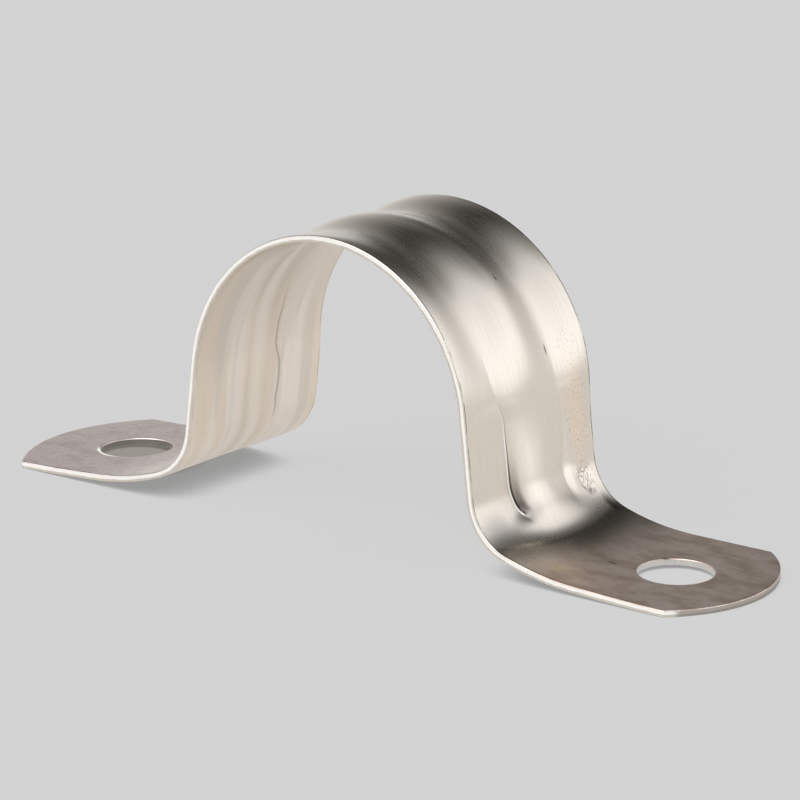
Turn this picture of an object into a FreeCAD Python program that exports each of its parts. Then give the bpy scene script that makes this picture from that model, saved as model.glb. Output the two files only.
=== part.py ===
import FreeCAD, Part
import math
import os

os.makedirs("parts", exist_ok=True)

# Two-hole conduit strap, one piece of stamped stainless steel sheet.
# X runs along the strap from foot to foot, Y along the conduit, Z up from the mounting plane.
# All sizes in millimetres, all angles in degrees.

# ---- conduit and sheet ----
conduit_d = 33.4            # outside diameter of 1 inch trade size rigid conduit
conduit_clearance = 0.05    # between the conduit and the two ridges that seat on it
seat_depth = 0.04           # the ridges are bedded to the conduit by this much
sheet_t = 0.68              # sheet thickness
strap_w = 21.5              # strip width, along the conduit
groove_arch = 0.60          # crease line below the edges of the strip, on the arch
groove_leg = 0.34           # the same on the legs

seat_r = conduit_d / 2 + conduit_clearance
arch_ri = seat_r + groove_arch - seat_depth
arch_ro = arch_ri + sheet_t
half_w = strap_w / 2

# ---- side profile, outer (upper) surface; each side is bent a little differently ----
axis_over_tip = 13.48       # conduit axis above the upper surface at the foot corners
foot_reach = 41.75          # conduit axis to the straight part of each foot end, in plan
long_bend_r = 32.4          # second, flatter bend between the foot and the sharp bend
tip_run_out = 1.5           # sheet carried past the foot end before it is trimmed
foot_form_run = 18.5        # length of foot over which its twist and crown grow to their full size

# leg_splay   legs lean outward by this angle
# bend_r      sharp bend at the bottom of the leg
# foot_r      the foot itself is curved a little, hollow side up, to this radius
# foot_curl   angle that it turns through
# foot_fall   slope that is left at the end of the foot, down toward the tip
# foot_twist  rear corner of the foot lifts by this much
# foot_crown  middle of the foot end stands over its corners by this much
# end_sag     depth of the wide arc that ends the foot
# end_skew    middle of that arc lies this far off the middle of the strip
# tip_z       height of the foot corners, so that both feet touch one plane
# rib_rise    top of the rib above the edges of the strip, at the bottom of the leg
right = {
    "leg_splay": 6.8,
    "bend_r": 5.9,
    "foot_r": 274.0,
    "foot_curl": 2.2,
    "foot_fall": 0.67,
    "foot_twist": 0.47,
    "foot_crown": -0.145,
    "end_sag": 5.12,
    "end_skew": -0.52,
    "hole_x": 36.6,
    "tip_z": 0.04,
    "rib_rise": 1.05,
}
left = {
    "leg_splay": 6.6,
    "bend_r": 6.05,
    "foot_r": 249.0,
    "foot_curl": 2.4,
    "foot_fall": 1.8,
    "foot_twist": 0.0,
    "foot_crown": 0.17,
    "end_sag": 3.82,
    "end_skew": -0.25,
    "hole_x": 34.7,
    "tip_z": 0.0,
    "rib_rise": 0.3,
}

# ---- screw holes and foot ends ----
hole_d = 7.9
corner_r = 0.5              # small rounding where the end arc meets the side edges

# ---- stiffening rib between two pressed creases ----
# On each leg one crease is sharp and the other soft, turned about between the legs:
# the sharp one is toward the front on the right leg and toward the rear on the left.
# Crease and nose widths run from the middle, as a part of the half width.
crease_arch = 0.50          # both creases, on the arch
sharp_leg = 0.365           # sharp crease on the leg
sharp_bend = 0.31           # the same at the foot bend, where it draws in
soft_leg = 0.545            # soft crease on the leg
soft_bend = 0.49            # the same at the foot bend
nose_top = 0.06             # flat top of the nose that the rib ends in, toward the sharp crease
nose_flank = 0.54           # its flank on that side
nose_soft = 0.85            # the whole nose on the side of the soft crease
rib_rise_arch = 0.28        # top of the rib above the edges of the strip, on the arch
dome_power = 2.4            # the rib on the legs is flat on top and steep beside the creases
margin_power = 3            # the margins curl in toward the creases
rear_edge_lift = 0.30       # rear edge of the arch stands a little proud

# places along a side where the form changes, as start and length; see side_stations
CREASE_DRAW = (0.80, 0.45)  # sharp crease leaves the line of the arch
CREASE_IN = (1.90, 0.70)    # sharp crease draws in toward the bend
SOFT_DRAW = (0.80, 0.40)    # soft crease spreads on the leg
SOFT_IN = (1.50, 0.70)      # soft crease draws in toward the bend
TO_LEG = (0.70, 0.45)       # waves of the arch turn into sharp creases
RIB_GROWS = (1.10, 1.20)    # rib rises down the leg
CREASE_ENDS = (2.25, 0.47)  # creases stop in the sharp bend
NOSE_ENDS = (2.48, 0.68)    # nose of the rib runs out into the foot
LIFT_ENDS = (0.80, 0.80)    # rear edge comes back into line

# stations along the profile
arch_steps = 10
leg_steps = 3
bend_steps = 9
long_bend_steps = 4
foot_steps = 3
run_out_steps = 1

# stations across each strip, as parts of its width
ACROSS_FRONT = (0.0, 0.42, 0.78, 1.0)
ACROSS_RIB = (0.0, 0.5, 0.85, 1.0)
ACROSS_REAR = (0.0, 0.22, 0.58, 1.0)

# cutting bodies
plan_depth = 80.0           # depth of the plan prism, well over the height of the strap
tool_margin = 10.0          # the drills and the conduit reach this far past the sheet

SLOPE_STEP = 0.004          # step of u over which a slope across the strip is taken

# the long surfaces are parted where the shape changes character: arch, leg, bends, foot and its end
FACE_BREAKS = (0.7, 1.0, 2.0, 3.0, 4.0, 6.0)


def smooth(x):
    """Ease from 0 to 1."""
    x = min(max(x, 0.0), 1.0)
    return x * x * (3.0 - 2.0 * x)


def normal(slope):
    """Unit normal of a surface that falls outward by the angle slope."""
    return (math.sin(slope), math.cos(slope))


def side_stations(side):
    """Stations of one side, apex to foot, as (x, z, normal x, normal z, place).

    place is 0 at the apex, 1 where the leg starts, 2 at the sharp bend, 3 at the long bend,
    4 at the start of the foot, 5 at its corners and 6 past the end of its arc.
    """
    splay = math.radians(side["leg_splay"])
    fall = math.radians(side["foot_fall"])
    start_fall = fall + math.radians(side["foot_curl"])
    bend_r, foot_r = side["bend_r"], side["foot_r"]
    leg_n = (math.cos(splay), math.sin(splay))
    leg_top = (arch_ro * leg_n[0], axis_over_tip + arch_ro * leg_n[1])
    # arc centres from the foot corners inward; each arc runs into the next without a kink
    foot_n, start_n = normal(fall), normal(start_fall)
    c3 = (foot_reach + foot_r * foot_n[0], side["tip_z"] + foot_r * foot_n[1])
    c2 = (c3[0] - (foot_r - long_bend_r) * start_n[0], c3[1] - (foot_r - long_bend_r) * start_n[1])
    # the sharp bend touches the leg line, which sets where it hands over to the long bend
    over_leg = (c2[0] - leg_top[0]) * leg_n[0] + (c2[1] - leg_top[1]) * leg_n[1]
    mid = math.asin((over_leg - bend_r) / (long_bend_r - bend_r)) - splay
    mid_n = normal(mid)
    c1 = (c2[0] - (long_bend_r - bend_r) * mid_n[0], c2[1] - (long_bend_r - bend_r) * mid_n[1])
    leg_end = (c1[0] - bend_r * leg_n[0], c1[1] - bend_r * leg_n[1])
    out = []
    for i in range(arch_steps):
        f = i / arch_steps
        a = math.pi / 2 + (splay - math.pi / 2) * f
        n = (math.cos(a), math.sin(a))
        out.append((arch_ro * n[0], axis_over_tip + arch_ro * n[1], n[0], n[1], f))
    for i in range(leg_steps):
        f = i / leg_steps
        x = leg_top[0] + (leg_end[0] - leg_top[0]) * f
        z = leg_top[1] + (leg_end[1] - leg_top[1]) * f
        out.append((x, z, leg_n[0], leg_n[1], 1 + f))
    bends = (
        (c1, bend_r, math.pi / 2 - splay, mid, bend_steps, 2),
        (c2, long_bend_r, mid, start_fall, long_bend_steps, 3),
        (c3, foot_r, start_fall, fall, foot_steps, 4),
    )
    for centre, r, a0, a1, steps, place in bends:
        for i in range(steps):
            f = i / steps
            n = normal(a0 + (a1 - a0) * f)
            out.append((centre[0] - r * n[0], centre[1] - r * n[1], n[0], n[1], place + f))
    run_out = side["end_sag"] + tip_run_out
    for i in range(run_out_steps + 1):
        f = i / run_out_steps
        x = foot_reach + run_out * f
        z = side["tip_z"] - run_out * f * math.tan(fall)
        out.append((x, z, foot_n[0], foot_n[1], 5 + f))
    return out


def eased(place, span):
    """Ease from 0 to 1 over a span of places."""
    return smooth((place - span[0]) / span[1])


def sharp_crease(place):
    """Sharp crease from the middle, as a part of the half width."""
    drawn = (sharp_leg - crease_arch) * eased(place, CREASE_DRAW)
    return crease_arch + drawn + (sharp_bend - sharp_leg) * eased(place, CREASE_IN)


def soft_crease(place):
    """Soft crease from the middle, as a part of the half width."""
    drawn = (soft_leg - crease_arch) * eased(place, SOFT_DRAW)
    return crease_arch + drawn + (soft_bend - soft_leg) * eased(place, SOFT_IN)


def creases(place, sign):
    """Both creases as u, front one first; sign is 1 on the right side and -1 on the left."""
    sharp, soft = sharp_crease(place), soft_crease(place)
    return (-sharp, soft) if sign > 0 else (-soft, sharp)


def bell(x):
    """Smooth hump, 1 at 0 and 0 from 1 outward."""
    return 0.5 + 0.5 * math.cos(math.pi * min(x, 1.0))


def height(place, u, sign):
    """Height of the outer surface over the plain profile at u, -1 front edge to 1 rear edge."""
    rib_rise = right["rib_rise"] if sign > 0 else left["rib_rise"]
    sharp = u * sign < 0.0
    v = abs(u)
    uc = sharp_crease(place) if sharp else soft_crease(place)
    leg = eased(place, TO_LEG)
    groove = groove_arch + (groove_leg - groove_arch) * leg
    rise = rib_rise_arch + (rib_rise - rib_rise_arch) * eased(place, RIB_GROWS)
    if v < uc:
        dome = 1.0 - (v / uc) ** dome_power
        full = dome if sharp else 0.5 * (dome + bell(v / uc))
        pressed = -groove + (groove + rise) * (bell(v / uc) + (full - bell(v / uc)) * leg)
    else:
        r = (v - uc) / (1.0 - uc)
        curl = (1.0 - r) ** margin_power
        pressed = -groove * (bell(r) + (curl - bell(r)) * leg)
    # the creases stop in the bend and the rib runs out below them in one wide nose
    nose = rise * (1.0 - smooth((v - nose_top) / nose_flank) if sharp else bell(v / nose_soft))
    h = pressed + (nose - pressed) * eased(place, CREASE_ENDS)
    h *= 1.0 - eased(place, NOSE_ENDS)
    if u > crease_arch:
        lift = rear_edge_lift * (1.0 - eased(place, LIFT_ENDS))
        h += lift * smooth((u - crease_arch) / (1.0 - crease_arch))
    return h


def strips(place, sign):
    """Stations across the three strips of the surface: front margin, rib, rear margin."""
    front, rear = creases(place, sign)
    return [
        [-1.0 + (front + 1.0) * k for k in ACROSS_FRONT],
        [front * k for k in reversed(ACROSS_RIB[1:])] + [rear * k for k in ACROSS_RIB],
        [rear + (1.0 - rear) * k for k in ACROSS_REAR],
    ]


def foot_form(x, u):
    """Lift of a foot over its plain profile by its twist and crown."""
    side = right if x > 0 else left
    grown = smooth((abs(x) - (foot_reach - foot_form_run)) / foot_form_run)
    return grown * (side["foot_twist"] * 0.5 * (u + 1.0) + side["foot_crown"] * (1.0 - u * u))


def thickness_at(place, u, sign, inward):
    """Sheet thickness measured along the profile normal, with the slope taken toward inward."""
    other = u + (SLOPE_STEP if inward > u else -SLOPE_STEP)
    slope = (height(place, other, sign) - height(place, u, sign)) / (SLOPE_STEP * half_w)
    return sheet_t * math.sqrt(1.0 + slope * slope)


def surface_points():
    """Outer and inner grids of points for the three strips, left foot end to right foot end."""
    rows = [(-s[0], s[1], -s[2], s[3], s[4], -1) for s in reversed(side_stations(left)[1:])]
    rows += [s + (1,) for s in side_stations(right)]
    grids = []
    for k in range(3):
        outer, inner = [], []
        for x, z, nx, nz, place, sign in rows:
            across = strips(place, sign)[k]
            out_row, in_row = [], []
            for i, u in enumerate(across):
                h = height(place, u, sign)
                # a crease is shared by two strips, so both take its slope on the rib's side
                on_crease = (k == 0 and i == len(across) - 1) or (k == 2 and i == 0)
                inward = 0.0 if on_crease else sum(across) / len(across)
                t = thickness_at(place, u, sign, inward)
                lift = foot_form(x, u)
                out_row.append(FreeCAD.Vector(x + h * nx, u * half_w, z + h * nz + lift))
                in_row.append(FreeCAD.Vector(x + (h - t) * nx, u * half_w, z + (h - t) * nz + lift))
            outer.append(out_row)
            inner.append(in_row)
        grids.append((outer, inner))
    travel = [0.0]
    for p, q in zip(rows, rows[1:]):
        travel.append(travel[-1] + math.hypot(q[0] - p[0], q[1] - p[1]))
    breaks = [t for t, row in zip(travel, rows) if row[4] in FACE_BREAKS]
    return grids, travel, breaks


def tensor_surface(grid, along, over):
    """Cubic surface through a grid of points, the same along every edge that two strips share."""
    rows_u = []
    for j in range(len(grid[0])):
        c = Part.BSplineCurve()
        c.interpolate(Points=[row[j] for row in grid], Parameters=along)
        rows_u.append(c)
    poles = []
    for i in range(rows_u[0].NbPoles):
        c = Part.BSplineCurve()
        c.interpolate(Points=[r.getPole(i + 1) for r in rows_u], Parameters=over)
        poles.append(c.getPoles())
        cross = c
    s = Part.BSplineSurface()
    s.buildFromPolesMultsKnots(
        poles,
        rows_u[0].getMultiplicities(),
        cross.getMultiplicities(),
        rows_u[0].getKnots(),
        cross.getKnots(),
        False,
        False,
        3,
        3,
    )
    return s


def sheet_solid():
    """Closed solid between the outer and inner surfaces."""
    grids, along, breaks = surface_points()
    faces = []
    for k, (outer, inner) in enumerate(grids):
        over = strips(0.0, 1)[k]
        pair = (tensor_surface(outer, along, over), tensor_surface(inner, along, over))
        u0, u1, v0, v1 = pair[0].bounds()
        for a, b in zip(breaks, breaks[1:]):
            pieces = []
            for s in pair:
                piece = s.copy()
                piece.segment(a, b, v0, v1)
                pieces.append(piece)
                faces.append(piece.toShape())
            if k != 1:
                v = v0 if k == 0 else v1
                edges = [piece.vIso(v).toShape() for piece in pieces]
                faces.append(Part.makeRuledSurface(edges[0], edges[1]))
        for u in (u0, u1):
            faces.append(Part.makeRuledSurface(pair[0].uIso(u).toShape(), pair[1].uIso(u).toShape()))
    shell = Part.makeShell(faces)
    shell.sewShape()
    solid = Part.Solid(Part.Shell(shell.Faces))
    if solid.Volume < 0:
        solid.reverse()
    return solid


def end_point(side, y):
    """Distance of the end arc of a foot from the conduit axis, in plan, at y."""
    sag = side["end_sag"]
    r = (half_w * half_w + sag * sag) / (2 * sag)
    return foot_reach + sag - r + math.sqrt(r * r - (y - side["end_skew"]) ** 2)


def plan_outline():
    """Upright prism on the plan outline: straight sides and one wide arc at each end."""
    floor = -plan_depth / 4

    def corner(side, sign, y):
        return FreeCAD.Vector(sign * end_point(side, y), y, floor)

    front_left, front_right = corner(left, -1, -half_w), corner(right, 1, -half_w)
    rear_left, rear_right = corner(left, -1, half_w), corner(right, 1, half_w)
    edges = [
        Part.makeLine(front_left, front_right),
        Part.Arc(front_right, corner(right, 1, right["end_skew"]), rear_right).toShape(),
        Part.makeLine(rear_right, rear_left),
        Part.Arc(rear_left, corner(left, -1, left["end_skew"]), front_left).toShape(),
    ]
    prism = Part.Face(Part.Wire(edges)).extrude(FreeCAD.Vector(0, 0, plan_depth))
    upright = [e for e in prism.Edges if abs(e.BoundBox.ZLength - plan_depth) < 1e-6]
    return prism.makeFillet(corner_r, upright)


sheet = sheet_solid()
strap = sheet.common(plan_outline())
for x in (right["hole_x"], -left["hole_x"]):
    drill = Part.makeCylinder(hole_d / 2, 2 * tool_margin, FreeCAD.Vector(x, 0, -tool_margin))
    strap = strap.cut(drill)
if strap.ShapeType == "Compound":
    strap = strap.Solids[0]

# the conduit beds into the two ridges under the arch
tool_w = strap_w + 2 * tool_margin
front = -half_w - tool_margin
along_y = FreeCAD.Vector(0, 1, 0)
conduit = Part.makeCylinder(seat_r, tool_w, FreeCAD.Vector(0, front, axis_over_tip), along_y)
above = Part.makeBox(4 * seat_r, tool_w, 2 * seat_r, FreeCAD.Vector(-2 * seat_r, front, axis_over_tip))
strap = strap.cut(conduit.common(above))
if strap.ShapeType == "Compound":
    strap = strap.Solids[0]

# the strap stands on the lower rims of its two foot ends, with its middle over the origin
box = strap.optimalBoundingBox(True, False)
shift_x = (left["end_sag"] - right["end_sag"]) / 2
strap.translate(FreeCAD.Vector(shift_x, 0, -box.ZMin))
print("valid", strap.isValid(), "solids", len(strap.Solids), "faces", len(strap.Faces), "volume", strap.Volume)
bb = strap.optimalBoundingBox(True, False)
print("box", bb.XMin, bb.XMax, bb.YMin, bb.YMax, bb.ZMin, bb.ZMax, "axis", shift_x, axis_over_tip - box.ZMin)
for f in strap.Faces:
    if f.Surface.TypeId == "Part::GeomCylinder" and abs(f.Surface.Radius - seat_r) < 1e-6:
        print("seat", f.BoundBox.YMin, f.BoundBox.YMax)
strap.exportStep("parts/strap.step")
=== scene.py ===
"""Two-hole conduit strap: looks, floor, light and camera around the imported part."""

import math

import bpy
import numpy as np
from mathutils import Matrix, Vector
from mathutils.geometry import delaunay_2d_cdt


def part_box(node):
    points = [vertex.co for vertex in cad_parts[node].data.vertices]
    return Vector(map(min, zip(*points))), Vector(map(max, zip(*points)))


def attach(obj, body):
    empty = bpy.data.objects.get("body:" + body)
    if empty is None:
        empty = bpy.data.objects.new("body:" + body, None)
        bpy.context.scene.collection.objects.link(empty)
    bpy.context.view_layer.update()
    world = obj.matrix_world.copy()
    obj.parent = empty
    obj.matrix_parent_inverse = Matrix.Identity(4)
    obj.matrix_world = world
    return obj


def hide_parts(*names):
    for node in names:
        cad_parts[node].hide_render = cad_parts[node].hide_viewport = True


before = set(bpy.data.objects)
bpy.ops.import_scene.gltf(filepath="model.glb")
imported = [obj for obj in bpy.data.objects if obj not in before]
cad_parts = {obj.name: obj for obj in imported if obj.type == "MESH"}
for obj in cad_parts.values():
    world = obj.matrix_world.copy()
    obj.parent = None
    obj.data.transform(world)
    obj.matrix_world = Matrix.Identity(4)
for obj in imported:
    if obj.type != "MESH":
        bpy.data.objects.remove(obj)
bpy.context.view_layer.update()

MM = 0.001

# ---- sizes of the strap, in millimetres and degrees, as in the part's own source ----
STRAP_W = 21.5
SHEET_T = 0.68
HALF_W = STRAP_W / 2
SEAT_R, SEAT_DEPTH = 16.75, 0.04
GROOVE_ARCH, GROOVE_LEG = 0.60, 0.34
ARCH_RO = SEAT_R + GROOVE_ARCH - SEAT_DEPTH + SHEET_T
AXIS_OVER_TIP = 13.48
FOOT_REACH = 41.75
LONG_BEND_R = 32.4
TIP_RUN_OUT = 1.5
FOOT_FORM_RUN = 18.5
RIGHT = {"splay": 6.8, "bend_r": 5.9, "foot_r": 274.0, "curl": 2.2, "fall": 0.67, "twist": 0.47,
         "crown": -0.145, "sag": 5.12, "skew": -0.52, "hole_x": 36.6, "tip_z": 0.04, "rib_rise": 1.05}
LEFT = {"splay": 6.6, "bend_r": 6.05, "foot_r": 249.0, "curl": 2.4, "fall": 1.8, "twist": 0.0,
        "crown": 0.17, "sag": 3.82, "skew": -0.25, "hole_x": 34.7, "tip_z": 0.0, "rib_rise": 0.3}
HOLE_D = 7.9
CORNER_R = 0.5
# crease and nose widths run from the middle, as a part of the half width
CREASE_ARCH, SHARP_LEG, SHARP_BEND, SOFT_LEG, SOFT_BEND = 0.50, 0.365, 0.31, 0.545, 0.49
NOSE_TOP, NOSE_FLANK, NOSE_SOFT = 0.06, 0.54, 0.85
RIB_RISE_ARCH = 0.28
REAR_EDGE_LIFT = 0.30
DOME_POWER, MARGIN_POWER = 2.4, 3

# places along a side where the form changes, as start and length; Side says what the places are
CREASE_DRAW = (0.80, 0.45)  # sharp crease leaves the line of the arch
CREASE_IN = (1.90, 0.70)    # sharp crease draws in toward the bend
SOFT_DRAW = (0.80, 0.40)    # soft crease spreads on the leg
SOFT_IN = (1.50, 0.70)      # soft crease draws in toward the bend
TO_LEG = (0.70, 0.45)       # waves of the arch turn into sharp creases
RIB_GROWS = (1.10, 1.20)    # rib rises down the leg
SHARP_ENDS = (2.25, 0.47)   # sharp crease stops in the bend
SOFT_ENDS = (1.90, 0.90)    # soft crease fades out over the bend
NOSE_ENDS = (2.48, 0.68)    # nose of the rib runs out into the foot
LIFT_ENDS = (0.80, 0.80)    # rear edge comes back into line

# ---- fine form that only this mesh has, in millimetres along and across the flat blank ----
EDGE_ROLL = 0.11            # rounding that the punch leaves round the outer face
DENT = (36.9, 8.4)          # crinkled dent on the right leg
BURR = (38.1, -3.35)        # burr at the lower end of the right leg's sharp crease

# ---- mesh ----
RIM_STEP = 0.28             # between points round the blank
HOLE_POINTS = 96            # round each screw hole
ROLL_RINGS = 6              # rings of points that carry the edge roll
WALL_BANDS = 5              # bands down each cut wall
GRID_ALONG = 0.30           # between rows of inner points
GRID_ACROSS = 84            # inner points in a row
CREASE_RUN = (21.0, 40.0)   # sharp creases get rows of their own between these lengths
CREASE_STEP = 0.22
CREASE_ROWS = (-0.20, -0.12, -0.06, 0.0, 0.06, 0.12, 0.20)
CREASE_CLEAR = 0.26         # the grid keeps this far off a sharp crease
RIM_CLEAR = 0.12            # and this far off the rings
WALL_V = 50.0               # UV height at which the cut walls start

# ---- finish, in millimetres along and across the flat blank ----
FOOT_FROM, FOOT_FADE = 42.0, 6.0    # dull finish of the feet starts, and how far it takes
END_FROM, END_FADE = 62.0, 0.6      # round ends start, where painted shade darkens the cut edge
# picked spots: middle, half length, half width, amount
PICKED = (((22.4, 8.2), 3.2, 2.0, 0.30), ((30.0, 8.2), 7.5, 2.6, 0.35), (DENT, 2.4, 1.9, 0.85),
          ((40.4, 7.6), 2.6, 2.6, 0.50))
# dark nicks: middle, half length, half width; the one at (22.4, 4.8) is a short line of painted shade on the
# soft crease
NICKS_AND_SHADE = (((49.2, -2.1), 0.8, 0.35), ((52.7, 2.6), 1.0, 0.45), ((22.4, 4.8), 0.9, 0.25),
         ((13.6, 1.8), 0.45, 0.3), ((40.6, 9.6), 2.0, 1.0))

# ---- floor ----
FLOOR_HALF = 3.0            # metres
SHADOW_REACH = 6.0          # millimetres from the strap in which the contact shadow fades out
SHADOW_LEAN = 15            # degrees above the floor that the contact shadow looks for cover
SHADOW_BEARING = 20         # and the bearing that it looks along
SHADOW_FULL = 0.10          # openness at which the shadow is darkest
SHADOW_DARKEST = 0.50


# ---- shape ----

def smooth(x):
    x = np.clip(x, 0.0, 1.0)
    return x * x * (3.0 - 2.0 * x)


def eased(place, change):
    """0 before a change of form, 1 after it."""
    start, length = change
    return smooth((place - start) / length)


def wave(x):
    """1 at 0, falling as a cosine to 0 at 1."""
    return 0.5 + 0.5 * np.cos(math.pi * x)


def bump(s, y, centre, along, across, flat=0.0):
    """1 at a place on the blank, falling to 0 at an ellipse of the half sizes along and across."""
    r = np.hypot((s - centre[0]) / along, (y - centre[1]) / across)
    return 1.0 - smooth((r - flat) / (1.0 - flat))


def normal(slope):
    """Unit normal of a surface that falls outward by the angle slope."""
    return np.stack([np.sin(slope), np.cos(slope)], -1)


class Side:
    """Side profile of one half of the strap, measured along the outer face from the apex.

    A place is 0 at the apex, 1 where the leg starts, 2 at the sharp bend, 3 at the long bend,
    4 where the foot starts, 5 at its corners and 6 past its end.
    """

    def __init__(self, d):
        self.d = d
        splay, fall = math.radians(d["splay"]), math.radians(d["fall"])
        start = fall + math.radians(d["curl"])
        r1, r2, r3 = d["bend_r"], LONG_BEND_R, d["foot_r"]
        leg_slope = math.pi / 2 - splay
        leg_n = normal(leg_slope)
        self.arch_c = np.array([0.0, AXIS_OVER_TIP])
        self.leg_top = self.arch_c + ARCH_RO * leg_n
        self.tip = np.array([FOOT_REACH, d["tip_z"]])
        c3 = self.tip + r3 * normal(fall)
        c2 = c3 - (r3 - r2) * normal(start)
        mid = math.asin(((c2 - self.leg_top) @ leg_n - r1) / (r2 - r1)) - splay
        c1 = c2 - (r2 - r1) * normal(mid)
        leg_end = c1 - r1 * leg_n
        self.leg_dir = np.array([leg_n[1], -leg_n[0]])
        self.foot_dir = np.array([math.cos(fall), -math.sin(fall)])
        # arcs by place, as centre and signed radius
        self.arcs = {0: (self.arch_c, ARCH_RO), 2: (c1, -r1), 3: (c2, -r2), 4: (c3, -r3)}
        self.slopes = [0.0, leg_slope, leg_slope, mid, start, fall, fall]
        lengths = [
            ARCH_RO * leg_slope,
            np.linalg.norm(leg_end - self.leg_top),
            r1 * (leg_slope - mid),
            r2 * (mid - start),
            r3 * (start - fall),
            (d["sag"] + TIP_RUN_OUT) / math.cos(fall),
        ]
        self.marks = np.concatenate([[0.0], np.cumsum(lengths)])

    def at(self, s):
        """Points, normals and places at lengths s."""
        m = self.marks
        place = np.interp(s, m, np.arange(7.0))
        n = normal(np.interp(s, m, self.slopes))
        part = np.clip(np.floor(place), 0, 5).astype(int)
        p = np.zeros((len(s), 2))
        for k, (centre, r) in self.arcs.items():
            here = part == k
            p[here] = centre + r * n[here]
        leg, foot = part == 1, part == 5
        p[leg] = self.leg_top + (s[leg] - m[1])[:, None] * self.leg_dir
        p[foot] = self.tip + (s[foot] - m[5])[:, None] * self.foot_dir
        return p, n, place

    def length_at(self, x):
        """Length along the outer face to plan position x on the foot."""
        s = np.linspace(self.marks[3], self.marks[6] + 2.0, 2000)
        return np.interp(x, self.at(s)[0][:, 0], s)


def sharp_crease(place):
    """Sharp crease from the middle, as a part of the half width: front on the right leg, rear on the left."""
    return (CREASE_ARCH + (SHARP_LEG - CREASE_ARCH) * eased(place, CREASE_DRAW)
            + (SHARP_BEND - SHARP_LEG) * eased(place, CREASE_IN))


def soft_crease(place):
    """The other, softer crease of the rib."""
    return (CREASE_ARCH + (SOFT_LEG - CREASE_ARCH) * eased(place, SOFT_DRAW)
            + (SOFT_BEND - SOFT_LEG) * eased(place, SOFT_IN))


def height(place, u, sign, rib_rise):
    """Outer face above the plain profile; u runs from -1 at the front edge to 1 at the rear."""
    w = u * sign                # -1 at the edge beside the sharp crease
    sharp = w < 0.0
    v = np.abs(w)
    uc = np.where(sharp, sharp_crease(place), soft_crease(place))
    leg = eased(place, TO_LEG)
    groove = GROOVE_ARCH + (GROOVE_LEG - GROOVE_ARCH) * leg
    rise = RIB_RISE_ARCH + (rib_rise - RIB_RISE_ARCH) * eased(place, RIB_GROWS)
    # the rib between the creases: a wave over the arch, a dome with steep flanks on the legs
    k = np.minimum(v / uc, 1.0)
    dome = 1.0 - k ** DOME_POWER
    full = np.where(sharp, dome, 0.5 * (dome + wave(k)))
    rib = -groove + (groove + rise) * (wave(k) + (full - wave(k)) * leg)
    # the margins beside them
    r = np.clip((v - uc) / (1.0 - uc), 0.0, 1.0)
    margin = -groove * (wave(r) + ((1.0 - r) ** MARGIN_POWER - wave(r)) * leg)
    pressed = np.where(v < uc, rib, margin)
    # the creases stop in the bend and the rib runs out below them in one wide nose
    bell = wave(np.minimum(v / NOSE_SOFT, 1.0))
    nose = rise * np.where(sharp, 1.0 - smooth((v - NOSE_TOP) / NOSE_FLANK), bell)
    ends = np.where(sharp, eased(place, SHARP_ENDS), eased(place, SOFT_ENDS))
    h = (1.0 - eased(place, NOSE_ENDS)) * (pressed + (nose - pressed) * ends)
    beyond = smooth((u - CREASE_ARCH) / (1.0 - CREASE_ARCH))
    return h + REAR_EDGE_LIFT * beyond * (1.0 - eased(place, LIFT_ENDS))


def knocks(s, y):
    """Small dents and burrs from the press, as heights at blank places (s along, y across)."""
    # crinkled dent in the rear margin of the right leg, just over its bend
    ds, dy = s - DENT[0], y - DENT[1]
    folds = np.sin(4.3 * ds + 1.9 * np.sin(3.1 * dy)) * np.sin(3.9 * dy + 1.1 * ds + 0.7)
    h = (0.09 * folds - 0.13) * bump(s, y, DENT, 2.1, 1.5, 0.25)
    # swelling on the front side of the dent
    h = h + 0.08 * bump(s, y, (DENT[0] - 0.3, DENT[1] - 2.1), 2.0, 0.9)
    # burr curled up at the lower end of the sharp crease
    return h + 0.09 * bump(s, y, BURR, 0.65, 0.38)


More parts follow.
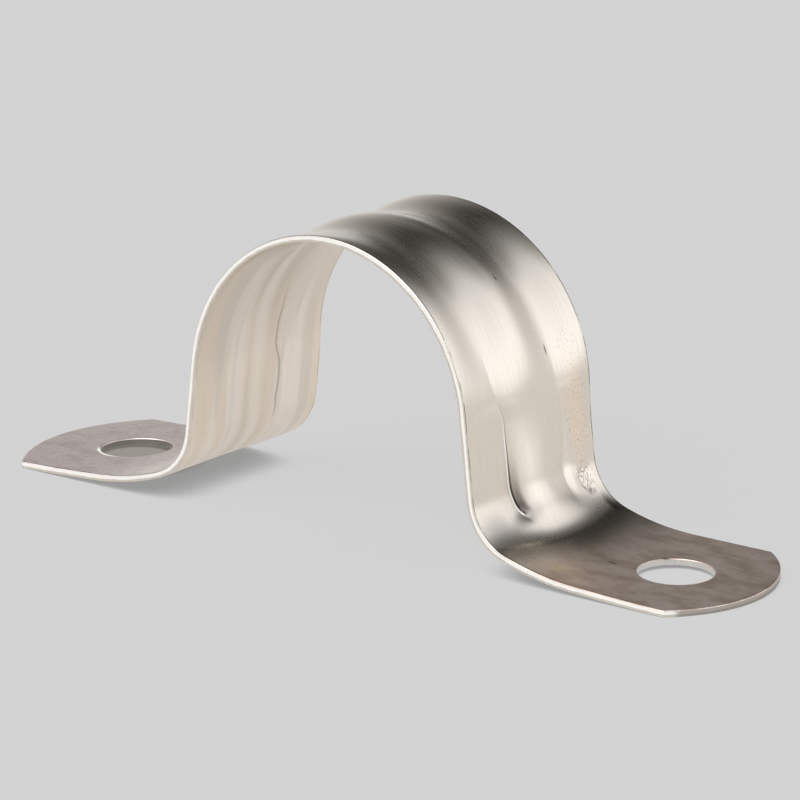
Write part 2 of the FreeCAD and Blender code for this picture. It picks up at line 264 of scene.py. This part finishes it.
class Sheet:
    """Maps the flat blank, length s (left foot negative) and width y, to the formed strap."""

    def __init__(self):
        self.right, self.left = Side(RIGHT), Side(LEFT)
        self.sides = ((self.right, 1.0), (self.left, -1.0))

    def form(self, s, y, below):
        """Formed places of blank points, `below` millimetres under the outer face."""
        u = y / HALF_W
        out = np.zeros((len(s), 3))
        step = 0.004
        for side, sign in self.sides:
            k = s >= 0 if sign > 0 else s < 0
            p, n, place = side.at(np.abs(s[k]))
            uu, rib_rise = u[k], side.d["rib_rise"]
            h = height(place, uu, sign, rib_rise) + knocks(s[k], y[k])
            ahead, behind = (height(place, uu + d, sign, rib_rise) for d in (step, -step))
            slope = (ahead - behind) / (2 * step * HALF_W)
            h = h - below[k] * np.sqrt(1.0 + slope ** 2)
            out[k, 0] = sign * (p[:, 0] + h * n[:, 0])
            out[k, 2] = p[:, 1] + h * n[:, 1]
        out[:, 1] = y
        for side, sign in self.sides:
            grown = smooth((sign * out[:, 0] - (FOOT_REACH - FOOT_FORM_RUN)) / FOOT_FORM_RUN)
            out[:, 2] += grown * (side.d["twist"] * 0.5 * (u + 1.0) + side.d["crown"] * (1.0 - u * u))
        return out

    def from_sharp(self, s, y):
        """Distance from the nearer leg's sharp crease, positive on the rib, and the place along the side."""
        out, places = np.zeros(len(s)), np.zeros(len(s))
        for side, sign in self.sides:
            k = s * sign >= 0
            place = side.at(np.abs(s[k]))[2]
            out[k] = sign * y[k] + sharp_crease(place) * HALF_W
            places[k] = place
        return out, places

    def crease_points(self):
        """Rows of blank points along both sharp creases, so that the folds come out crisp."""
        rows = []
        for side, sign in self.sides:
            along = np.arange(*CREASE_RUN, CREASE_STEP)
            line = sign * sharp_crease(side.at(along)[2]) * HALF_W
            for off in CREASE_ROWS:
                rows.append(np.stack([sign * along, sign * off - line], -1))
        return np.concatenate(rows)

    def outline(self, step):
        """Edge of the flat blank as a closed loop of points, right foot end first."""
        loop = []
        for side, sign in self.sides:
            skew, sag = side.d["skew"], side.d["sag"]
            r = (HALF_W ** 2 + sag ** 2) / (2 * sag)
            cx = FOOT_REACH + sag - r
            end = []
            for edge in (-1.0, 1.0):
                # a small circle rounds the corner between the side edge and the end arc
                ky = edge * (HALF_W - CORNER_R)
                kx = cx + math.sqrt((r - CORNER_R) ** 2 - (ky - skew) ** 2)
                turn = math.atan2(ky - skew, kx - cx)
                fan = np.linspace(turn, edge * math.pi / 2, 9)
                fan = fan[1:] if edge > 0 else fan[::-1][:-1]
                corner = [(kx + CORNER_R * math.cos(a), ky + CORNER_R * math.sin(a)) for a in fan]
                end.append((turn, corner))
            (a0, front), (a1, rear) = end
            n = int((a1 - a0) * r / step)
            arc = [(cx + r * math.cos(a), skew + r * math.sin(a)) for a in np.linspace(a0, a1, n)]
            pts = front + arc + rear
            s = side.length_at(np.array([p[0] for p in pts]))
            line = [(sign * q, p[1]) for q, p in zip(s, pts)]
            loop.append(line if sign > 0 else line[::-1])
        right, left = loop
        n = int((right[-1][0] - left[0][0]) / step)
        rear = [(s, HALF_W) for s in np.linspace(right[-1][0], left[0][0], n + 1)[1:-1]]
        front = [(s, -HALF_W) for s in np.linspace(left[-1][0], right[0][0], n + 1)[1:-1]]
        return np.array(right + rear + left + front)

    def hole(self, side, sign):
        """Rim of one screw hole on the flat blank, clockwise so that its left is metal."""
        a = -np.linspace(0, 2 * math.pi, HOLE_POINTS, endpoint=False)
        r = HOLE_D / 2
        s = side.length_at(side.d["hole_x"] + r * np.cos(a))
        return np.stack([sign * s, sign * r * np.sin(a)], -1)


def inward(loop, d):
    """A loop moved d to its left, into the metal."""
    t = np.roll(loop, -1, 0) - np.roll(loop, 1, 0)
    t /= np.linalg.norm(t, axis=1)[:, None]
    return loop + d * np.stack([-t[:, 1], t[:, 0]], -1)


def inside_loop(points, loop):
    """True for points inside a closed loop, by counting crossings."""
    x, y = points[:, 0], points[:, 1]
    hit = np.zeros(len(points), bool)
    for (x0, y0), (x1, y1) in zip(loop, np.roll(loop, -1, 0)):
        if y0 == y1:
            continue
        cross = (y0 > y) != (y1 > y)
        hit ^= cross & (x < (x1 - x0) * (y - y0) / (y1 - y0) + x0)
    return hit


def in_metal(points, rims):
    """True for blank points inside the outline and outside the screw holes."""
    found = inside_loop(points, rims[0])
    for rim in rims[1:]:
        found &= ~inside_loop(points, rim)
    return found


def inner_points(sheet, rims):
    """An even grid inside the blank, finer at the dent and the burr, and rows along the sharp creases."""
    edge = HALF_W - EDGE_ROLL - 0.06
    along = np.arange(rims[0][:, 0].min(), rims[0][:, 0].max(), GRID_ALONG)
    gs, gy = np.meshgrid(along, np.linspace(-edge, edge, GRID_ACROSS), indexing="ij")
    even = np.stack([gs.ravel(), gy.ravel()], -1)
    near = np.hypot((even[:, 0] - DENT[0]) / 2.6, (even[:, 1] - DENT[1] + 0.6) / 2.6) < 1.0
    near |= np.hypot((even[:, 0] - BURR[0]) / 1.4, (even[:, 1] - BURR[1]) / 1.0) < 1.0
    between = [even[near] + shift for shift in ((0.15, 0.0), (0.0, 0.125), (0.15, 0.125))]
    grid = np.concatenate([even] + between)
    off_crease = np.abs(sheet.from_sharp(grid[:, 0], grid[:, 1])[0])
    grid = np.concatenate([grid[off_crease > CREASE_CLEAR], sheet.crease_points()])
    return grid[in_metal(grid, [inward(rim, EDGE_ROLL + RIM_CLEAR) for rim in rims])]


def flat_mesh(rims, rings, inner):
    """Points and triangles of the flat blank, through the rings round each rim and the inner points."""
    flat = [ring for loop in rings for ring in loop]
    verts = np.concatenate(flat + [inner])
    starts = np.cumsum([0] + [len(r) for r in flat])
    edges = []
    for a, ring in zip(starts, flat):
        n = len(ring)
        edges += [(a + i, a + (i + 1) % n) for i in range(n)]
    made = delaunay_2d_cdt([Vector(v) for v in verts], edges, [], 0, 1e-7)
    pts = np.array([tuple(v) for v in made[0]])
    tris = np.array(made[2])
    tris = tris[in_metal(pts[tris].mean(1), rims)]
    used = np.unique(tris)
    renumber = -np.ones(len(pts), int)
    renumber[used] = np.arange(len(used))
    return pts[used], renumber[tris]


def cut_wall(sheet, rim, first):
    """Wall under one rim of the outer face: points, UVs and faces, numbered from first."""
    n = len(rim)
    points, uv, faces = [], [], []
    for below in np.linspace(EDGE_ROLL, SHEET_T, WALL_BANDS + 1):
        points.append(sheet.form(rim[:, 0], rim[:, 1], np.full(n, below)))
        uv.append(np.stack([rim[:, 0], np.full(n, WALL_V + below)], -1))
    for k in range(WALL_BANDS):
        a, b = first + k * n, first + (k + 1) * n
        faces += [(a + i, b + i, b + (i + 1) % n, a + (i + 1) % n) for i in range(n)]
    return np.concatenate(points), np.concatenate(uv), faces


def place_on_frame(xyz):
    """Millimetres about the conduit axis to metres in the row frame."""
    lo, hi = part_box("strap")
    shift_x = (LEFT["sag"] - RIGHT["sag"]) / 2
    shift_z = lo[2] / MM - xyz[:, 2].min()
    return (xyz + np.array([shift_x, 0.0, shift_z])) * MM


def add_uv(mesh, name, uv_mm):
    """A UV layer from one place in millimetres for each point of the mesh."""
    corners = np.zeros(len(mesh.loops), int)
    mesh.loops.foreach_get("vertex_index", corners)
    mesh.uv_layers.new(name=name).data.foreach_set("uv", (uv_mm[corners] * MM).ravel())


def build_strap():
    """The strap as one closed mesh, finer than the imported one, with UVs along the strip and its creases.

    Material slots: 0 outer face, 1 inside, 2 sheared edge, 3 walls of the screw holes.
    """
    sheet = Sheet()
    rims = [sheet.outline(RIM_STEP)] + [sheet.hole(*side) for side in sheet.sides]
    # rings just inside every cut edge carry the punch's edge rounding
    depths = EDGE_ROLL * (1.0 - np.cos(np.linspace(0.0, math.pi / 2, ROLL_RINGS)))
    rings = [[inward(rim, d) for d in depths] for rim in rims]
    pts, tris = flat_mesh(rims, rings, inner_points(sheet, rims))
    # depth under the outer face: rounded off toward the rims
    drop = np.zeros(len(pts))
    rim_ids = []
    for loops in rings:
        for ring, d in zip(loops, depths):
            ids = [int(np.argmin(((pts - q) ** 2).sum(1))) for q in ring]
            drop[ids] = EDGE_ROLL - math.sqrt(max(EDGE_ROLL ** 2 - (EDGE_ROLL - d) ** 2, 0.0))
            if d == 0.0:
                rim_ids.append(ids)
    s, y = pts[:, 0], pts[:, 1]
    n = len(pts)
    xyz = [sheet.form(s, y, drop), sheet.form(s, y, np.full(n, SHEET_T))]
    uv = [pts, pts]
    faces = [(a, b, c) for a, b, c in tris] + [(c + n, b + n, a + n) for a, b, c in tris]
    kinds = [0] * len(tris) + [1] * len(tris)
    for kind, ids in zip((2, 3, 3), rim_ids):
        wall_xyz, wall_uv, wall_faces = cut_wall(sheet, pts[ids], sum(len(p) for p in xyz))
        xyz.append(wall_xyz)
        uv.append(wall_uv)
        faces += wall_faces
        kinds += [kind] * len(wall_faces)
    mesh = bpy.data.meshes.new("stamped_strap")
    mesh.from_pydata([tuple(v) for v in place_on_frame(np.concatenate(xyz))], [], faces)
    mesh.polygons.foreach_set("material_index", kinds)
    uv = np.concatenate(uv)
    add_uv(mesh, "strip", uv)
    across = np.where(uv[:, 1] > HALF_W + 1.0, 0.0, uv[:, 1])
    add_uv(mesh, "crease", np.stack(sheet.from_sharp(uv[:, 0], across), -1))
    mesh.validate()
    mesh.shade_smooth()
    obj = bpy.data.objects.new("stamped_strap", mesh)
    bpy.context.collection.objects.link(obj)
    return obj


# ---- materials ----

def linear(hex_colour):
    """sRGB hex to linear RGBA."""
    c = [int(hex_colour[i:i + 2], 16) / 255 for i in (1, 3, 5)]
    return tuple(v / 12.92 if v <= 0.04045 else ((v + 0.055) / 1.055) ** 2.4 for v in c) + (1.0,)


def add(tree, kind, inputs=None, **settings):
    """Adds a node, sets its properties and its inputs; a (node, socket) pair is linked."""
    node = tree.nodes.new(kind)
    for name, value in settings.items():
        setattr(node, name, value)
    for name, value in (inputs or {}).items():
        if isinstance(value, tuple) and len(value) == 2 and hasattr(value[0], "outputs"):
            tree.links.new(value[0].outputs[value[1]], node.inputs[name])
        else:
            node.inputs[name].default_value = value
    return node


def new_material(name):
    m = bpy.data.materials.new(name)
    m.use_nodes = True
    m.node_tree.nodes.clear()
    return m, m.node_tree


def product(tree, *values):
    """Product of several outputs or numbers."""
    total = values[0]
    for v in values[1:]:
        total = (add(tree, "ShaderNodeMath", {0: total, 1: v}, operation="MULTIPLY"), "Value")
    return total


def mask(tree, value, rise=None, fall=None, least=0.0):
    """1 past the limits of the rise and short of those of the fall, eased from the least outside them."""
    sides = []
    for limits, before, after in ((rise, least, 1.0), (fall, 1.0, least)):
        if limits:
            lo, hi = limits
            side = add(tree, "ShaderNodeMapRange", {"Value": value, "From Min": lo, "From Max": hi,
                       "To Min": before, "To Max": after}, interpolation_type="SMOOTHSTEP")
            sides.append((side, "Result"))
    return product(tree, *sides)


def laid(tree, under, over, *masks):
    """One colour, hex or an output, laid over another as far as all the masks let it."""
    under, over = (linear(c) if isinstance(c, str) else c for c in (under, over))
    both = add(tree, "ShaderNodeMix", {"Factor": product(tree, *masks), "A": under, "B": over},
               data_type="RGBA")
    return (both, "Result")


def stretched(tree, place, along, across):
    """A place on the blank counted in steps of the sizes along and across, in millimetres."""
    steps = add(tree, "ShaderNodeVectorMath", {0: place, 1: (1.0 / along, 1.0 / across, 1.0)},
                operation="MULTIPLY")
    return (steps, "Vector")


def grain(tree, place, along, across, detail=3.0):
    """Noise whose spots are along x across millimetres on the strip."""
    noise = add(tree, "ShaderNodeTexNoise", {"Vector": stretched(tree, place, along, across), "Scale": 1.0,
                "Detail": detail}, noise_dimensions="2D")
    return (noise, "Fac")


def spot(tree, place, centre, along, across, soft=0.6):
    """1 at a place on the strip, eased to 0 at an ellipse of the half sizes along and across."""
    moved = add(tree, "ShaderNodeVectorMath", {0: place, 1: (-centre[0], -centre[1], 0.0)}, operation="ADD")
    far = add(tree, "ShaderNodeVectorMath", {0: stretched(tree, (moved, "Vector"), along, across)},
              operation="LENGTH")
    return mask(tree, (far, "Value"), fall=(1.0 - soft, 1.0))


class OnStrip:
    """Where a point lies on the strap, as node outputs.

    place holds along and across, in millimetres on the flat blank; out_along and out_across are the same
    without their signs. off is millimetres from the nearer sharp crease, positive on the rib, and down is
    the place along the side, as Side counts it.
    """

    def __init__(self, tree):
        def layer(name):
            uv = add(tree, "ShaderNodeUVMap", uv_map=name)
            sized = add(tree, "ShaderNodeVectorMath", {0: (uv, "UV"), "Scale": 1.0 / MM}, operation="SCALE")
            return (sized, "Vector")

        def parts(vector):
            split = add(tree, "ShaderNodeSeparateXYZ", {"Vector": vector})
            return (split, "X"), (split, "Y")

        self.place = layer("strip")
        self.along, self.across = parts(self.place)
        outward = add(tree, "ShaderNodeVectorMath", {0: self.place}, operation="ABSOLUTE")
        self.out_along, self.out_across = parts((outward, "Vector"))
        self.off, self.down = parts(layer("crease"))


def feet_finish(t, at, colour, dull, patches, foot):
    """The feet, which the die has squeezed flat: duller and browner, in fine patches, less so on the left."""
    left = mask(t, at.along, fall=(-1.0, 1.0))
    colour = laid(t, colour, laid(t, dull, "#F4E6E2", left), foot)
    worn = mask(t, at.along, rise=(-1.0, 1.0), least=0.25 / 0.52)
    colour = laid(t, colour, "#AD9384", foot, mask(t, patches, rise=(0.42, 0.70)), worn, 0.52)
    colour = laid(t, colour, "#E6DCD2", foot, mask(t, patches, fall=(0.28, 0.46)), 0.55)
    flecks = grain(t, at.place, 1.1, 0.45, 4.0)
    return laid(t, colour, "#8C7A6C", foot, mask(t, flecks, rise=(0.50, 0.74)), 0.22)


def inside_finish_and_shade(t, at, colour):
    """Weak lengthwise bands of heat tint and rubbed metal, painted shade darker up the arch, and one thin
    line of painted shade by the sharp crease.
    """
    warm = mask(t, grain(t, at.place, 45.0, 3.0, 1.0), rise=(0.42, 0.66))
    colour = laid(t, colour, "#DCC4A4", warm, 0.30)
    cool = mask(t, grain(t, at.place, 38.0, 2.4, 0.0), rise=(0.52, 0.72))
    colour = laid(t, colour, "#B2AC9E", cool, 0.25)
    # painted shade: darker toward the apex of the arch
    colour = laid(t, colour, "#B4A99D", mask(t, at.down, fall=(0.35, 1.5)), 0.35)
    # painted shade: a thin dark line starts on the rib and closes in, wavering, on the sharp crease
    drawn = add(t, "ShaderNodeMapRange", {"Value": at.down, "From Min": 0.72, "From Max": 1.40, "To Min": 2.9,
                "To Max": 0.55}, interpolation_type="SMOOTHSTEP")
    beside = add(t, "ShaderNodeMath", {0: at.off, 1: (drawn, "Result")}, operation="SUBTRACT")
    beside = add(t, "ShaderNodeMath", {0: grain(t, at.place, 5.0, 90.0, 2.0), 1: 0.9, 2: (beside, "Value")},
                 operation="MULTIPLY_ADD")
    line = mask(t, (beside, "Value"), rise=(0.25, 0.42), fall=(0.44, 0.66))
    return laid(t, colour, "#6E5A4C", line, mask(t, at.down, rise=(0.68, 0.95), fall=(1.9, 2.3)), 0.42)


def painted_glints(t, at):
    """Painted highlights on the outside: a thin one along the top of the sharp crease, and one on the front
    rim of the left hole.
    """
    crease_glint = product(t, mask(t, at.down, rise=(0.90, 1.15), fall=(2.44, 2.50)),
                    mask(t, at.off, rise=(-0.34, -0.22), fall=(-0.06, 0.0)),
                    mask(t, at.down, rise=(1.1, 1.6), least=0.3))
    hole_s = -float(Side(LEFT).length_at(np.array([LEFT["hole_x"]]))[0])
    from_hole = add(t, "ShaderNodeVectorMath", {0: at.place, 1: (hole_s, 0.0, 0.0)}, operation="DISTANCE")
    rim = mask(t, (from_hole, "Value"), fall=(HOLE_D / 2 + 0.30, HOLE_D / 2 + 0.45))
    hole_glint = product(t, rim, spot(t, at.place, (hole_s - 1.8, -3.6), 3.2, 2.4, 0.5))
    return crease_glint, hole_glint


def painted_crease_light(t, at, colour, crease_glint, hole_glint):
    """The sharp crease: a thin painted highlight beside a line of painted shade that widens downward, and
    more painted shade at its foot; also the painted highlight at the left hole.
    """
    # painted highlights: along the sharp crease and on the front rim of the left hole
    colour = laid(t, colour, "#FFFDF8", crease_glint, 0.8)
    colour = laid(t, colour, "#FFFDF8", hole_glint, 0.95)
    # painted shade on the rib's flank beside the sharp crease, widening downward
    wide = add(t, "ShaderNodeMapRange", {"Value": at.down, "From Min": 1.1, "From Max": 2.45, "To Min": 0.10,
               "To Max": 0.26}, interpolation_type="SMOOTHSTEP")
    reach = add(t, "ShaderNodeMath", {0: at.off, 1: (wide, "Result")}, operation="DIVIDE")
    dark = product(t, mask(t, at.down, rise=(0.90, 1.15), fall=(2.44, 2.50)),
                   mask(t, at.off, rise=(-0.02, 0.04)), mask(t, (reach, "Value"), fall=(0.55, 1.0)),
                   mask(t, at.down, rise=(1.0, 2.2), least=0.45))
    colour = laid(t, colour, "#221E1A", dark, 0.92)
    # painted shade at the foot of the sharp crease
    crease_foot_shade = product(t, mask(t, at.off, rise=(0.0, 0.12), fall=(0.55, 1.15)),
                    mask(t, at.down, rise=(1.55, 2.3), fall=(2.38, 2.52)))
    return laid(t, colour, "#4B403A", crease_foot_shade, 0.72)


def wear_and_shade(t, at, colour, patches):
    """Marks of the press and of handling on the outside, most of them on the right leg and foot, with painted
    shade at the bend and on the soft crease.
    """
    # specks where the die has picked at the rear margin, and in the dent
    specks = mask(t, grain(t, at.place, 0.35, 0.22, 2.0), rise=(0.60, 0.68))
    for centre, along, across, amount in PICKED:
        colour = laid(t, colour, "#6B5C4E", spot(t, at.place, centre, along, across), specks, amount)
    # straw-coloured rear margin
    colour = laid(t, colour, "#F0D2B4", spot(t, at.place, (30.0, 8.2), 8.0, 1.8, 0.8), 0.35)
    # painted shade: a dark band where the bend meets the foot, bowed out in the middle. A darker front corner
    # above it.
    square = add(t, "ShaderNodeMath", {0: at.across, 1: at.across}, operation="MULTIPLY")
    bowed = add(t, "ShaderNodeMath", {0: (square, "Value"), 1: 2.0 / HALF_W ** 2, 2: at.along},
                operation="MULTIPLY_ADD")
    band = mask(t, (bowed, "Value"), rise=(42.0, 42.8), fall=(43.2, 46.2))
    colour = laid(t, colour, "#5F574E", band, 0.62)
    colour = laid(t, colour, "#A8A29A", spot(t, at.place, (39.0, -8.4), 3.4, 3.8, 0.9), 0.75)
    # one rubbed yellowish patch, a few dark nicks and a short line of painted shade on the soft crease
    rubbed = mask(t, patches, fall=(0.25, 0.65), least=0.35)
    colour = laid(t, colour, "#FFEFC8", spot(t, at.place, (47.6, -7.6), 3.2, 1.9, 0.95), rubbed, 0.80)
    for centre, along, across in NICKS_AND_SHADE:
        colour = laid(t, colour, "#3A322B", spot(t, at.place, centre, along, across, 0.9), 0.75)
    return colour


def stamped_steel(name, tint, rough, feet=None):
    """Cold-rolled stainless sheet after stamping.

    The rolled finish leaves fine lengthwise lines, which blur reflections across the strip. They are
    drawn a tenth of a millimetre wide, coarser than the real ones, so that they show. The outside
    has feet of a colour of their own; the inside has none.
    """
    m, t = new_material(name)
    at = OnStrip(t)
    lines = grain(t, at.place, 7.0, 0.13, 2.0)
    streaks = mask(t, lines, rise=(0.30, 0.70))
    rolled = add(t, "ShaderNodeMapRange", {"Value": lines, "From Min": 0.3, "From Max": 0.7,
                 "To Min": rough - 0.02, "To Max": rough + 0.03}, interpolation_type="SMOOTHSTEP")
    roughness = (rolled, "Result")
    metallic = 1.0
    if feet is None:
        colour = inside_finish_and_shade(t, at, laid(t, tint, "#8F8478", streaks, 0.07))
    else:
        patches = grain(t, at.place, 4.2, 2.4, 6.0)
        foot = mask(t, at.out_along, rise=(FOOT_FROM, FOOT_FROM + FOOT_FADE))
        colour = feet_finish(t, at, tint, feet, patches, foot)
        colour = laid(t, colour, "#8F8478", streaks, 0.07)
        crease_glint, hole_glint = painted_glints(t, at)
        colour = wear_and_shade(t, at, painted_crease_light(t, at, colour, crease_glint, hole_glint), patches)
        duller = add(t, "ShaderNodeMath", {0: foot, 1: 0.17, 2: roughness}, operation="MULTIPLY_ADD")
        roughness = (duller, "Value")
        # painted highlight lines are made less metallic, so that they render near white
        glints = add(t, "ShaderNodeMath", {0: crease_glint, 1: hole_glint}, operation="MAXIMUM")
        metal = add(t, "ShaderNodeMath", {0: (glints, "Value"), 1: -0.8, 2: 1.0}, operation="MULTIPLY_ADD")
        metallic = (metal, "Value")
    # painted shade: a dark thin line along the front and rear edges, where the roll of the cut edge begins
    edge_shade_line = product(t, mask(t, at.out_across, rise=(HALF_W - 0.27, HALF_W - 0.19),
                               fall=(HALF_W - 0.14, HALF_W - 0.08)),
                       mask(t, grain(t, at.place, 2.5, 60.0), rise=(0.40, 0.56), least=0.25 / 0.85))
    colour = laid(t, colour, "#5A554E", edge_shade_line, 0.38 if feet is None else 0.85)
    relief = add(t, "ShaderNodeBump", {"Height": lines, "Strength": 0.25, "Distance": 0.003 * MM})
    shader = add(t, "ShaderNodeBsdfPrincipled", {"Base Color": colour, "Metallic": metallic,
                 "Roughness": roughness, "Normal": (relief, "Normal")})
    add(t, "ShaderNodeOutputMaterial", {"Surface": (shader, "BSDF")})
    return m


def punched_wall(name):
    """Wall of a punched hole: dull torn metal, with painted shade that darkens the wall of the left hole."""
    m, t = new_material(name)
    at = OnStrip(t)
    colour = laid(t, "#C2BEB9", "#DAD7D2", grain(t, at.place, 0.3, 2.0))
    # painted shade inside the left hole
    colour = laid(t, colour, "#6A625A", mask(t, at.along, fall=(-1.0, 1.0)), 0.85)
    shader = add(t, "ShaderNodeBsdfPrincipled", {"Base Color": colour, "Metallic": 1.0, "Roughness": 0.38})
    add(t, "ShaderNodeOutputMaterial", {"Surface": (shader, "BSDF")})
    return m


def sheared_edge(name):
    """Edge left by the shear: a bright band that the shear has rubbed smooth, then a duller torn band;
    painted shade darkens the round ends.
    """
    m, t = new_material(name)
    at = OnStrip(t)
    depth = add(t, "ShaderNodeMath", {0: grain(t, at.place, 1.2, 40.0), 1: 0.16, 2: at.across},
                operation="MULTIPLY_ADD")
    depth = (depth, "Value")
    torn_from, torn_full = WALL_V + 0.46, WALL_V + 0.58
    colour = laid(t, "#F4F1EC", "#C4BCB1", mask(t, depth, rise=(torn_from, torn_full)))
    # painted shade darkens the cut edge on the round ends
    ends = mask(t, at.out_along, rise=(END_FROM, END_FROM + END_FADE))
    colour = laid(t, colour, "#8A8178", ends, 0.8)
    rough = add(t, "ShaderNodeMapRange", {"Value": depth, "From Min": torn_from, "From Max": torn_full,
                "To Min": 0.42, "To Max": 0.62}, interpolation_type="SMOOTHSTEP")
    shader = add(t, "ShaderNodeBsdfPrincipled", {"Base Color": colour, "Metallic": 0.7,
                 "Roughness": (rough, "Result")})
    add(t, "ShaderNodeOutputMaterial", {"Surface": (shader, "BSDF")})
    return m


# ---- stage ----

def direction(azimuth, elevation):
    """Unit vector; azimuth 0 is +Y and 90 is +X."""
    a, e = math.radians(azimuth), math.radians(elevation)
    return (math.sin(a) * math.cos(e), math.cos(a) * math.cos(e), math.sin(e))


def floor():
    """Plain pale grey floor, even in tone, with the strap's shadow."""
    mesh = bpy.data.meshes.new("studio_floor")
    r = FLOOR_HALF
    mesh.from_pydata([(-r, -r, 0), (r, -r, 0), (r, r, 0), (-r, r, 0)], [], [(0, 1, 2, 3)])
    obj = bpy.data.objects.new("studio_floor", mesh)
    bpy.context.collection.objects.link(obj)
    m, t = new_material("pale grey paper")
    lit = add(t, "ShaderNodeBsdfDiffuse", {"Color": linear("#D6D6D6")})
    # soft contact shadow, fuller toward the front because the room is brighter behind the strap
    open_sky = 0.5 + 0.5 * math.sin(math.radians(SHADOW_LEAN))
    contact = add(t, "ShaderNodeAmbientOcclusion", {"Distance": SHADOW_REACH * MM,
                  "Normal": direction(SHADOW_BEARING, SHADOW_LEAN)}, samples=16)
    shade = mask(t, (contact, "AO"), rise=(SHADOW_FULL, open_sky), least=SHADOW_DARKEST)
    # the arch keeps light off the floor under the left screw hole
    here = add(t, "ShaderNodeTexCoord")
    from_hole = add(t, "ShaderNodeVectorMath", {0: (here, "Object"), 1: (-LEFT["hole_x"] * MM, 0.0, 0.0)},
                    operation="DISTANCE")
    paper = laid(t, "#D1D1D1", "#958F85", mask(t, (from_hole, "Value"), fall=(4.0 * MM, 8.0 * MM)))
    seen = add(t, "ShaderNodeEmission", {"Color": paper, "Strength": shade})
    mirrored = add(t, "ShaderNodeEmission", {"Color": linear("#F8F8F8"), "Strength": 1.0})
    path = add(t, "ShaderNodeLightPath")
    first = add(t, "ShaderNodeMixShader", {"Fac": product(t, (path, "Is Camera Ray"), 0.93), 1: (lit, "BSDF"),
                2: (seen, "Emission")})
    second = add(t, "ShaderNodeMixShader", {"Fac": product(t, (path, "Is Glossy Ray"), 0.60),
                 1: (first, "Shader"), 2: (mirrored, "Emission")})
    add(t, "ShaderNodeOutputMaterial", {"Surface": (second, "Shader")})
    mesh.materials.append(m)


def cone(tree, look, centre, outer, inner):
    """1 within inner degrees of the direction centre, eased to 0 at outer degrees."""
    near = add(tree, "ShaderNodeVectorMath", {0: look, 1: centre}, operation="DOT_PRODUCT")
    return mask(tree, (near, "Value"), rise=(math.cos(math.radians(outer)), math.cos(math.radians(inner))))


def studio_light():
    """Soft studio all round: pale horizon, dim ceiling, a wide soft box, a fill behind the camera, flags."""
    world = bpy.data.worlds.new("studio")
    bpy.context.scene.world = world
    world.use_nodes = True
    t = world.node_tree
    t.nodes.clear()
    coord = add(t, "ShaderNodeTexCoord")
    look = (add(t, "ShaderNodeVectorMath", {0: (coord, "Generated")}, operation="NORMALIZE"), "Vector")
    parts = add(t, "ShaderNodeSeparateXYZ", {"Vector": look})
    rise = add(t, "ShaderNodeMapRange", {"Value": (parts, "Z"), "From Min": 0.0, "From Max": 0.80})
    glow = laid(t, "#F4F5F7", "#232220", (rise, "Result"))
    # boxes: direction, outer and inner degrees, power, tint
    for centre, outer, inner, power, tint in ((direction(58, 39), 55, 5, 1.08, "#F4F8FF"),
                                              (direction(185, 48), 48, 22, 2.8, "#FFFFFF")):
        strength = product(t, cone(t, look, centre, outer, inner), power)
        lit = add(t, "ShaderNodeVectorMath", {0: linear(tint)[:3], "Scale": strength}, operation="SCALE")
        glow = (add(t, "ShaderNodeVectorMath", {0: glow, 1: (lit, "Vector")}, operation="ADD"), "Vector")
    # flags: direction, outer and inner degrees, how far each shuts the light off
    for centre, outer, inner, shut in ((direction(-19, 20), 23, 0, 0.96), (direction(-5, 52), 30, 5, 0.68)):
        glow = laid(t, glow, "#24221F", cone(t, look, centre, outer, inner), shut)
    back = add(t, "ShaderNodeBackground", {"Color": glow, "Strength": 1.0})
    add(t, "ShaderNodeOutputWorld", {"Surface": (back, "Background")})


def camera():
    """Long lens from the front right, a little above the strap."""
    azimuth, elevation, roll = 180.0 - 37.40, 15.79, math.radians(0.16)
    distance = 516.0 * MM
    aim = Vector((0.849 * MM, 0.0, 12.805 * MM))
    back = Vector(direction(azimuth, elevation))
    side = Vector((0, 0, 1)).cross(back).normalized()
    right = side * math.cos(roll) + back.cross(side) * math.sin(roll)
    cam = bpy.data.cameras.new("camera")
    obj = bpy.data.objects.new("camera", cam)
    bpy.context.collection.objects.link(obj)
    turn = Matrix((right, back.cross(right), back)).transposed().to_4x4()
    obj.matrix_world = Matrix.Translation(aim + back * distance) @ turn
    cam.sensor_width = 36.0
    cam.lens = 222.4
    cam.clip_start, cam.clip_end = 0.01, 20.0
    bpy.context.scene.camera = obj


strap = build_strap()
strap.data.materials.append(stamped_steel("stamped stainless sheet", "#DCD3C6", 0.25, "#E2CFC1"))
strap.data.materials.append(stamped_steel("stamped stainless sheet, inside", "#F0E5D8", 0.34))
strap.data.materials.append(sheared_edge("sheared edge"))
strap.data.materials.append(punched_wall("punched hole wall"))
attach(strap, "root")
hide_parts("strap")
floor()
studio_light()
camera()
bpy.context.scene.view_settings.view_transform = "Standard"
